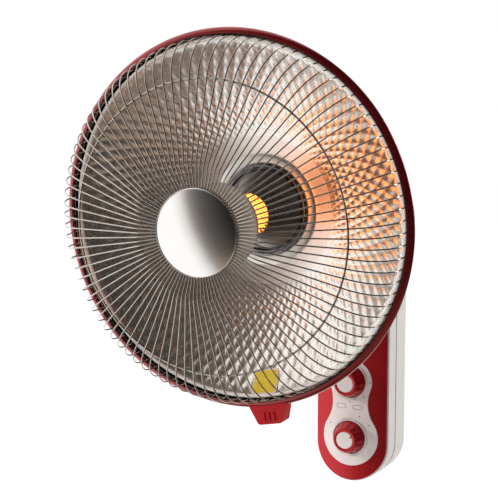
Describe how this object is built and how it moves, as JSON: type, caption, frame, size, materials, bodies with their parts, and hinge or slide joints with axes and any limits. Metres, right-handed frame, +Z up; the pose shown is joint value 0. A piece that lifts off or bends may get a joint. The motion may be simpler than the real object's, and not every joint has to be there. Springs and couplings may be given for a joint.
{
  "type": "wall-mounted ceramic dish heater",
  "caption": "Wall heater with a swinging, tilting dish: embossed reflector and ceramic heating core behind a radial wire guard, on a column with two turning knobs.",
  "frame": {"origin": "middle of the four wall-screw holes, on the wall side of the wall bracket", "axes": "+Y into the wall, so the dish faces -Y; +Z up; +X to the right seen from the front"},
  "size_m": [0.3799, 0.4404, 0.5432],
  "materials": {
    "red_plastic": "gloss",
    "red_paint": "gloss",
    "white_plastic": "satin",
    "dial_white": "satin",
    "bright_wire": "polished",
    "polished_steel": "polished",
    "mirror_aluminium": "polished and embossed",
    "white_ceramic": "matte",
    "hot_wire": "glowing when on",
    "plain_steel": "zinc plated",
    "black_plastic": "matte",
    "white_nylon": "matte",
    "motor_case": "satin",
    "black_rubber": "matte"
  },
  "bodies": {
    "column": {"wall_bracket": "plain_steel", "rear_housing": "white_plastic", "front_housing": "white_plastic", "housing_screws": "plain_steel", "cord_gland": "black_rubber", "terminal_block": "black_plastic", "terminal_screws": "plain_steel", "front_panel": "red_plastic", "dial_plate": "dial_white", "heat_switch": "black_plastic", "timer_unit": "black_plastic", "arm_body": "white_plastic", "arm_bolts": "plain_steel", "arm_lid": "white_plastic", "lid_screws": "plain_steel", "swing_bush": "white_nylon", "swing_motor": "motor_case", "motor_screws": "plain_steel"},
    "heat_dial": {"heat_knob": "red_plastic", "heat_knob_disc": "dial_white", "heat_spindle": "plain_steel"},
    "timer_dial": {"timer_knob": "red_plastic", "timer_knob_disc": "dial_white", "timer_spindle": "plain_steel"},
    "crank": {"swing_crank": "black_plastic"},
    "neck": {"swing_neck": "white_plastic", "swing_lever": "plain_steel", "lever_clip": "plain_steel"},
    "head": {"hinge_bracket": "plain_steel", "tilt_bolt": "plain_steel", "tilt_nut": "plain_steel", "friction_washers": "white_nylon", "back_shell": "red_paint", "rear_cover": "red_plastic", "cover_screws": "plain_steel", "overheat_cutout": "plain_steel", "rim_ring": "red_plastic", "grip_tab": "red_plastic", "reflector": "mirror_aluminium", "core_cone": "polished_steel", "ceramic_core": "white_ceramic", "heating_coil": "hot_wire", "core_disc": "polished_steel", "core_stud": "plain_steel", "core_nuts": "plain_steel", "core_socket": "white_ceramic", "guard_wires": "bright_wire", "guard_mid_ring": "bright_wire", "guard_end_ring": "bright_wire", "guard_inner_ring": "bright_wire", "guard_cap": "polished_steel", "guard_plate": "plain_steel", "cap_screw": "plain_steel"}
  },
  "joints": [
    {"name": "head_swing", "type": "hinge", "parent": "column", "child": "neck", "pos_m": [0, -0.15, 0.115], "axis": [0, 0, 1], "range_deg": [-35, 35]},
    {"name": "head_tilt", "type": "hinge", "parent": "neck", "child": "head", "pos_m": [0, -0.15, 0.19], "axis": [1, 0, 0], "range_deg": [-15, 20]},
    {"name": "crank_turn", "type": "hinge", "parent": "column", "child": "crank", "pos_m": [0, -0.122, 0.088], "axis": [0, 0, 1], "range_deg": [-105, 105]},
    {"name": "heat_knob_turn", "type": "hinge", "parent": "column", "child": "heat_dial", "pos_m": [0, -0.055, -0.042], "axis": [0, 1, 0], "range_deg": [-60, 60]},
    {"name": "timer_knob_turn", "type": "hinge", "parent": "column", "child": "timer_dial", "pos_m": [0, -0.055, -0.108], "axis": [0, 1, 0], "range_deg": [-62, 208]}
  ],
  "couplings": [
    {"joint": "crank_turn", "follows": "head_swing", "ratio": 3}
  ]
}
